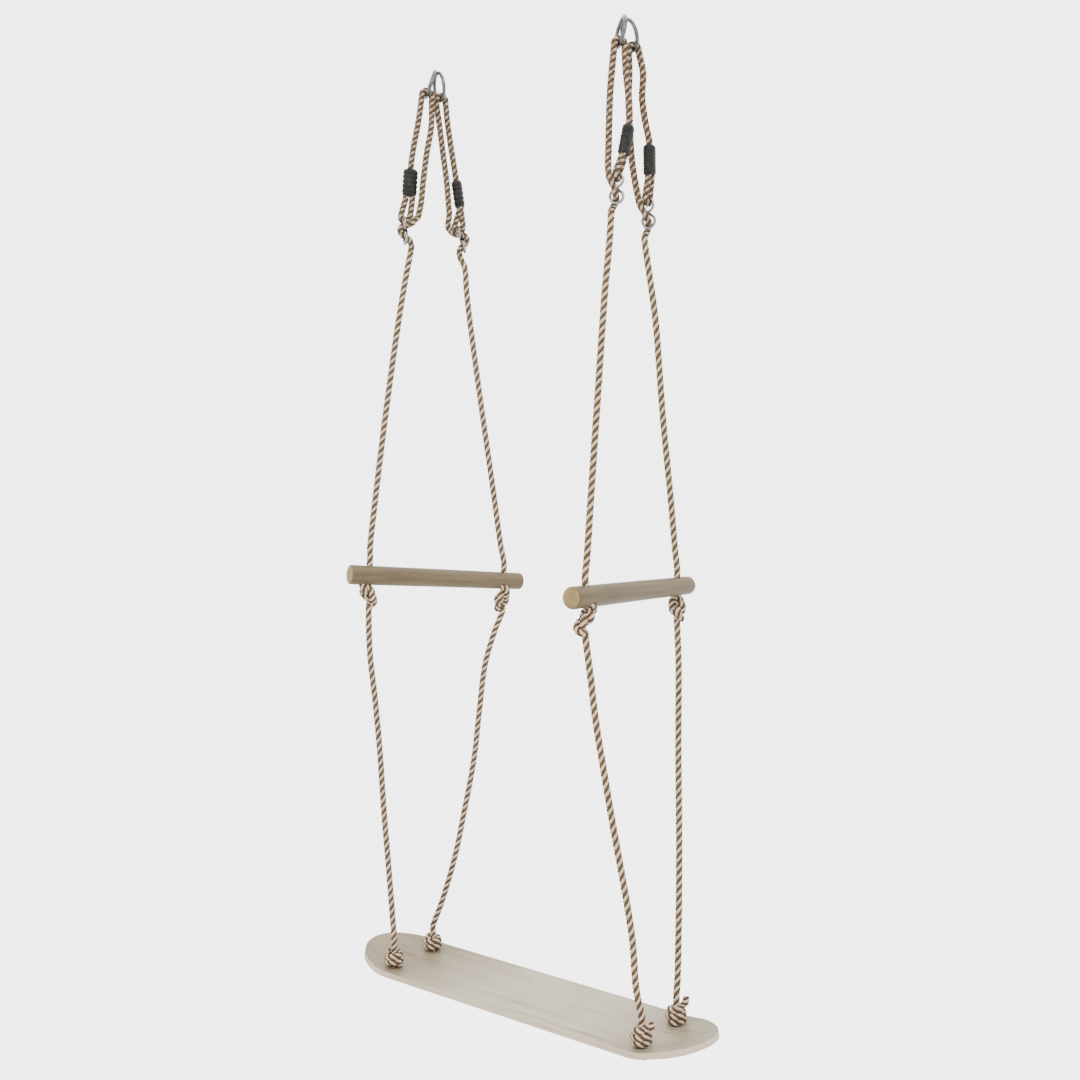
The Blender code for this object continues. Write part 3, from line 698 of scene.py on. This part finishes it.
def add_bar(side_name):
    side = SIDES[side_name]
    along, up = bar_axes(side)
    half = BAR_LENGTH / 2
    rounding = [(0.0, 0.0), (0.0, 0.55), (0.0, 0.80), (0.0006, 0.905), (0.0018, 0.965), (0.0036, 1.0)]
    stations = [(-half + inset, share) for inset, share in rounding]
    stations += [(x, 1.0) for x in np.linspace(-half + 0.02, half - 0.02, 30)]
    stations += [(half - inset, share) for inset, share in reversed(rounding)]
    sides = 56
    verts = []
    for x, share in stations:
        radius = share * (BAR_R_NEAR + (BAR_R_FAR - BAR_R_NEAR) * (0.5 + x / BAR_LENGTH))
        for j in range(sides):
            a = 2 * math.pi * j / sides
            wobble = 1.0 + 0.006 * math.sin(2 * a + 9 * x) + 0.004 * math.sin(31 * x + a)
            r = max(radius * wobble, 1e-5)
            verts.append((x, r * math.cos(a), r * math.sin(a)))
    bar = mesh_object("bar_" + side_name, verts, tube_faces(len(stations), sides))
    bpy.context.view_layer.update()
    bar.data.materials.append(BAR)
    bar.data.materials.append(BAR_END)
    for face in bar.data.polygons:
        if abs(face.center.x) > half - 0.0008:
            face.material_index = 1
    frame_matrix = Matrix((along, up.cross(along), up)).transposed().to_4x4()
    drill(bar, [(x, 0, 0) for x in (-BAR_HOLE_OFFSET, BAR_HOLE_OFFSET)], 24)
    smooth_with_edges(bar, 50.0)
    bar.matrix_world = Matrix.Translation(side["bar_centre"]) @ frame_matrix
    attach(bar, side_name + "_bar")
    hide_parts("grip_bar_" + side_name)


# ---------------------------------------------------------------- rings
def ring_axes(side_name, end):
    rope = ROPES[side_name, end]
    sign = -1.0 if end == "near" else 1.0
    level = heading(rope["ring_yaw"])
    top = SIDES[side_name]["hook"] + level * (sign * RING_SPACING) + Vector((0, 0, WIRE_R_RING))
    down = (rope["ring_foot"] - top).normalized()
    return top, down, (level - down * level.dot(down)).normalized()


def ring_foot(side_name, end):
    top, down, _ = ring_axes(side_name, end)
    return top + down * (2 * RING_R)


def closed_tube(name, path, radius, sides):
    """A round wire whose path ends where it starts."""
    pts = np.array([tuple(p) for p in path], float)
    count = len(pts)
    tangents = np.roll(pts, -1, axis=0) - np.roll(pts, 1, axis=0)
    tangents /= np.linalg.norm(tangents, axis=1, keepdims=True)
    normal = np.cross(tangents[0], (0.3, 0.5, 0.81))
    normal /= np.linalg.norm(normal)
    normals = []
    for t in tangents:
        normal = normal - t * np.dot(normal, t)
        normal /= np.linalg.norm(normal)
        normals.append(normal.copy())
    closing = normals[-1] - tangents[0] * np.dot(normals[-1], tangents[0])
    closing /= np.linalg.norm(closing)
    turned = float(np.dot(np.cross(normals[0], closing), tangents[0]))
    twist = math.atan2(turned, float(np.dot(normals[0], closing)))
    verts, faces = [], []
    for i, t in enumerate(tangents):
        side = np.cross(t, normals[i])
        extra = -twist * i / count
        for j in range(sides):
            a = 2 * math.pi * j / sides + extra
            verts.append(pts[i] + radius * (math.cos(a) * normals[i] + math.sin(a) * side))
            row, after = i * sides, (i + 1) % count * sides
            beside = (j + 1) % sides
            faces.append((row + j, row + beside, after + beside, after + j))
    return mesh_object(name, verts, faces)


def add_ring(side_name, end):
    top, down, normal = ring_axes(side_name, end)
    centre = top + down * RING_R
    across = normal.cross(down)
    path = []
    for i in range(72):
        a = 2 * math.pi * i / 72
        path.append(centre + across * (RING_R * math.sin(a)) - down * (RING_R * math.cos(a)))
    ring = closed_tube(f"ring_wire_{side_name}_{end}", path, WIRE_R_RING + 0.0006, 14)
    ring.data.materials.append(STEEL)
    # the blend lies wholly above the ring, so all of it moves with swing
    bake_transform(ring)
    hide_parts(f"ring_{side_name}_{end}")


# ---------------------------------------------------------------- sliders and ferrules
def slider_axes(rope):
    up = rope["slider_axis"].normalized()
    towards = heading(rope["towards_yaw"])
    towards = (towards - up * towards.dot(up)).normalized()
    return towards.cross(up), towards, up


def in_slider(rope, across, towards, up):
    a, t, u = slider_axes(rope)
    return rope["slider"] + a * across + t * towards + u * up


def add_slider(side_name, end, rope):
    start, sweep, count = math.radians(-40.0), math.radians(260.0), 30
    points = []
    for lobe in (1.0, -1.0):
        for i in range(count):
            share = i / (count - 1)
            turn = start + sweep * share
            across = SLIDER_LOBE_R * math.cos(turn)
            up = lobe * (SLIDER_LOBE_Z + SLIDER_LOBE_R * math.sin(turn))
            points.append(in_slider(rope, across, lobe * SLIDER_CROSS * (2 * share - 1), up))
        last = points[-1]
        nxt = in_slider(rope, SLIDER_LOBE_R * math.cos(start), lobe * SLIDER_CROSS,
                        -lobe * (SLIDER_LOBE_Z + SLIDER_LOBE_R * math.sin(start)))
        for i in range(1, 12):
            points.append(last.lerp(nxt, i / 12))
    pts = np.array([tuple(p) for p in points])
    for _ in range(2):
        pts = pts + 0.25 * (np.roll(pts, 1, axis=0) + np.roll(pts, -1, axis=0) - 2 * pts)
    slider = closed_tube(f"adjuster_{side_name}_{end}", pts, WIRE_R_SLIDER + 0.0005, 12)
    slider.data.materials.append(WIRE)
    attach(slider, side_name + "_side")
    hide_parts(f"slider_{side_name}_{end}")


def ferrule_axes(rope):
    up = (rope["ferrule_top"] - rope["ferrule_foot"]).normalized()
    wide = heading(rope["ferrule_yaw"])
    return (wide - up * wide.dot(up)).normalized(), up


def ferrule_top(rope):
    return rope["ferrule_foot"] + ferrule_axes(rope)[1] * FERRULE_LENGTH


def add_ferrule(side_name, end, rope):
    wide, up = ferrule_axes(rope)
    thick = up.cross(wide)
    ringed = side_name == "left"
    sides, rows = 120, 84
    verts = []
    profile = [(0.0, 0.0), (0.0, 0.55), (0.0, 0.80), (0.0005, 0.88), (0.0015, 0.93)]
    profile += [(z, 1.0) for z in np.linspace(0.003, FERRULE_LENGTH - 0.006, rows)]
    crown = [(0.0045, 0.97), (0.0028, 0.90), (0.0014, 0.78), (0.0005, 0.62), (0.0, 0.45), (0.0, 0.0)]
    profile += [(FERRULE_LENGTH - below, share) for below, share in crown]
    for z, share in profile:
        for j in range(sides):
            a = 2 * math.pi * j / sides
            ribs = 0.0
            if share == 1.0 and ringed:
                ribs = 0.15 * (abs(math.cos(math.pi * z / 0.0088)) ** 0.7 - 0.80) if z < 0.0396 else 0.0
            elif share == 1.0:
                ribs = 0.030 * math.sin(2 * math.pi * z / 0.0052 + 3 * a)
                ribs += 0.016 * math.sin(14 * a + 420 * z)
            r = max(share * (0.97 + ribs), 1e-4)
            point = rope["ferrule_foot"] + up * z + wide * (FERRULE_HALF_WIDE * r * math.cos(a))
            verts.append(point + thick * (FERRULE_HALF_THICK * r * math.sin(a)))
    ferrule = mesh_object(f"sleeve_{side_name}_{end}", verts, tube_faces(len(profile), sides))
    ferrule.data.materials.append(RUBBER)
    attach(ferrule, side_name + "_side")
    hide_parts(f"ferrule_{side_name}_{end}")


# ---------------------------------------------------------------- the ropes' routes
def bight_points(side_name, end, leg_sign):
    foot = ring_foot(side_name, end)
    level = heading(ROPES[side_name, end]["ring_yaw"]) * leg_sign
    turns = [math.radians(d) for d in (-12, 15, 45, 75, 105, 135, 165, 192)]
    return [foot + level * (BIGHT_R * math.cos(t)) + Vector((0, 0, BIGHT_R * math.sin(t))) for t in turns]


def grip_points(rope):
    """The rope's way through its slider, in millimetres across, towards and up from its middle."""
    if rope["beside"]:
        weave = [(11.0, 13.4, 27.0), (8.5, 13.0, 14.0), (4.5, 12.0, 6.0), (1.0, 11.0, 0.0),
                 (0.0, 10.3, -3.4), (0.0, 7.6, -7.4), (0.5, 1.0, -13.0), (3.0, -5.9, -17.5),
                 (6.0, -9.6, -23.0), (9.0, -7.5, -31.0), (9.0, -1.0, -38.0), (7.5, 3.5, -47.0)]
    else:
        weave = [(2.0, 17.5, 22.0), (2.0, 12.5, 14.5), (1.0, 6.5, 11.0), (0.0, 0.0, 9.5),
                 (0.0, -6.5, 6.5), (0.0, -9.4, 0.0), (0.0, -6.0, -7.5), (0.0, 0.5, -11.5),
                 (0.0, 7.0, -16.5), (0.0, 10.5, -23.0), (0.0, 11.0, -31.0), (0.0, 9.0, -41.0),
                 (0.0, 7.0, -52.0)]
    return [in_slider(rope, a / 1000, t / 1000, u / 1000) for a, t, u in weave]


def hanging_route(side_name, end, rope):
    sign = -1.0 if end == "near" else 1.0
    leg_sign = sign if rope["leg_outside"] else -sign
    middle, up, radius = bar_hole(SIDES[side_name], end)
    through = [middle + up * h for h in (radius + 0.016, radius, 0.0, -radius + 0.002)]
    out = ferrule_axes(rope)[1]
    route = [ferrule_top(rope) - out * 0.006, ferrule_top(rope) + out * 0.005]
    route += rope["leg"] + bight_points(side_name, end, leg_sign) + rope["main"]
    return smooth_curve(route + grip_points(rope) + rope["upper"] + through)


def eye_route(rope):
    wide, up = ferrule_axes(rope)
    start = rope["ferrule_foot"] + up * 0.005
    lobe_top = SLIDER_LOBE_Z + SLIDER_LOBE_R
    route = [start + wide * EYE_IN_FERRULE, start + wide * EYE_IN_FERRULE - up * 0.009]
    for degrees in range(0, 181, 30):
        turn = math.radians(degrees)
        route.append(in_slider(rope, 0.0, EYE_R * math.cos(turn), lobe_top - EYE_R * math.sin(turn)))
    return smooth_curve(route + [start - wide * EYE_IN_FERRULE - up * 0.009, start - wide * EYE_IN_FERRULE])


def deck_hole(side_name, end):
    x = -HOLE_X if side_name == "left" else HOLE_X
    return deck_surface(x, -HOLE_Y if end == "near" else HOLE_Y)


def placed(pts, centre, yaw):
    c, s = math.cos(yaw), math.sin(yaw)
    turned = pts @ np.array([[c, s, 0], [-s, c, 0], [0, 0, 1]])
    return turned + np.array(tuple(centre))


def finish_rope(obj, *nodes, look=ROPE):
    obj.data.materials.append(look)
    if nodes:
        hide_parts(*nodes)


BAR_KNOT = centred(overhand(1000 * BAR_KNOT_HALF, BAR_KNOT_ROPE, 10.0))


def add_rope(side_name, end, rope, number):
    side = SIDES[side_name]
    label = f"{side_name}_{end}"
    body, bar_body = side_name + "_side", side_name + "_bar"
    curve = hanging_route(side_name, end, rope)
    low = rope["slider"].z - 0.040
    cut = max(i for i, p in enumerate(curve) if p.z > low)

    loop, direction, pts = rope_mesh("loop_" + label, curve[:cut + 1], lay=TIGHT_LAY)
    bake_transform(loop)
    finish_rope(loop, "rope_leg_" + label, "rope_bight_" + label, look=LOOP_ROPE)

    upper, direction, pts = rope_mesh("upper_" + label, curve[cut:], direction)
    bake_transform(upper)
    finish_rope(upper, "rope_upper_" + label)

    eye, _, pts = rope_mesh("eye_" + label, eye_route(rope), lay=TIGHT_LAY)
    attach(eye, body)
    finish_rope(eye, "rope_eye_" + label, look=LOOP_ROPE)

    middle, up, radius = bar_hole(side, end)
    knot_centre = middle - up * (radius - 0.002) - Vector((0, 0, BAR_KNOT_HALF))
    tied = placed(BAR_KNOT, knot_centre, 1.3 * number)
    knot, direction, _ = rope_mesh("stopper_" + label, tied, direction, step=0.001, lay=TIGHT_LAY)
    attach(knot, bar_body)
    finish_rope(knot, "knot_bar_" + label)

    start = knot_centre - Vector((0, 0, BAR_KNOT_HALF))
    deck_top = deck_hole(side_name, end)
    deck_centre = deck_top + Vector((0, 0, DECK_KNOT_HALF - 0.002))
    finish = deck_centre + Vector((0, 0, DECK_KNOT_HALF))
    lead = Vector((0, 0, 0.006))
    route = smooth_curve([start, start - lead, *rope["lower"], finish + lead, finish])
    lower, direction, pts = rope_mesh("lower_" + label, route, direction)
    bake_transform(lower)
    finish_rope(lower, "rope_lower_" + label)

    coil = coil_knot(DECK_KNOT_HALF, side_name == "right")
    wound = placed(coil, deck_centre, 0.9 * number + 0.4)
    foot, _, _ = rope_mesh("foot_knot_" + label, wound, direction, step=0.001, lay=TIGHT_LAY)
    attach(foot, "deck")
    finish_rope(foot, "knot_deck_" + label)


def add_under_rope(side_name):
    top = deck_hole(side_name, "near")
    under = top.z - DECK_THICK
    bend, run = 0.0100, 0.0070
    half = [(HOLE_Y, top.z - 0.0004), (HOLE_Y, under + 0.002), (HOLE_Y - 0.0010, under - 0.0042),
            (HOLE_Y - 0.0050, under - 0.0086), (HOLE_Y - bend - 0.003, under - 0.0100),
            (HOLE_Y - 0.026, under - run)]
    route = [(top.x, -y, z) for y, z in half]
    route += [(top.x, 0.0, under - run)]
    route += [(top.x, y, z) for y, z in reversed(half)]
    rope, _, pts = rope_mesh("under_" + side_name, smooth_curve(route))
    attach(rope, "deck")
    finish_rope(rope, "rope_under_" + side_name)


# ---------------------------------------------------------------- studio
def add_studio():
    bpy.ops.mesh.primitive_plane_add(size=60.0, location=(0, 0, -3.2))
    floor = bpy.context.object
    floor.name = "studio_floor"
    made, nodes, links, shader = new_material("floor_look")
    place = nodes.new("ShaderNodeTexCoord").outputs["Object"]
    tint = noise(nodes, links, place, 3.0, 2.0)
    pale = ramp(nodes, links, tint, [(0.3, (0.49, 0.49, 0.49)), (0.7, (0.51, 0.51, 0.51))])
    links.new(pale, shader.inputs["Base Color"])
    shader.inputs["Specular IOR Level"].default_value = 0.0
    shader.inputs["Emission Color"].default_value = (1.0, 1.0, 1.0, 1.0)
    shader.inputs["Emission Strength"].default_value = 0.5 * SKY
    shader.inputs["Roughness"].default_value = 0.9
    floor.data.materials.append(made)
    world = bpy.data.worlds.new("studio")
    world.use_nodes = True
    back = world.node_tree.nodes["Background"]
    back.inputs["Color"].default_value = (1.0, 1.0, 1.0, 1.0)
    back.inputs["Strength"].default_value = SKY
    bpy.context.scene.world = world
    lamps = (("key", (1.8, -2.6, 1.6), 2.2, 170.0), ("fill", (-2.8, -1.6, 0.4), 2.4, 50.0),
             ("top", (0.3, 0.4, 2.4), 2.0, 80.0))
    for name, place, size, power in lamps:
        data = bpy.data.lights.new(name, "AREA")
        data.size = size
        data.energy = power
        lamp = link(bpy.data.objects.new(name, data))
        lamp.location = place
        lamp.rotation_euler = (Vector((0, 0, -0.9)) - Vector(place)).to_track_quat("-Z", "Y").to_euler()


def add_camera():
    data = bpy.data.cameras.new("camera")
    data.sensor_width = 36.0
    data.lens = LENS
    data.clip_start = 0.02
    data.clip_end = 200.0
    camera = link(bpy.data.objects.new("camera", data))
    camera.location = (1.3603, -1.7245, -0.7829)
    look = Vector((-0.6107, 0.7911, -0.0360))
    camera.rotation_euler = look.to_track_quat("-Z", "Y").to_euler()
    bpy.context.scene.camera = camera


add_deck()
for name in SIDES:
    add_bar(name)
    add_under_rope(name)
for number, ((side_name, end), rope) in enumerate(ROPES.items()):
    add_ring(side_name, end)
    add_slider(side_name, end, rope)
    add_ferrule(side_name, end, rope)
    add_rope(side_name, end, rope, number)
add_studio()
add_camera()
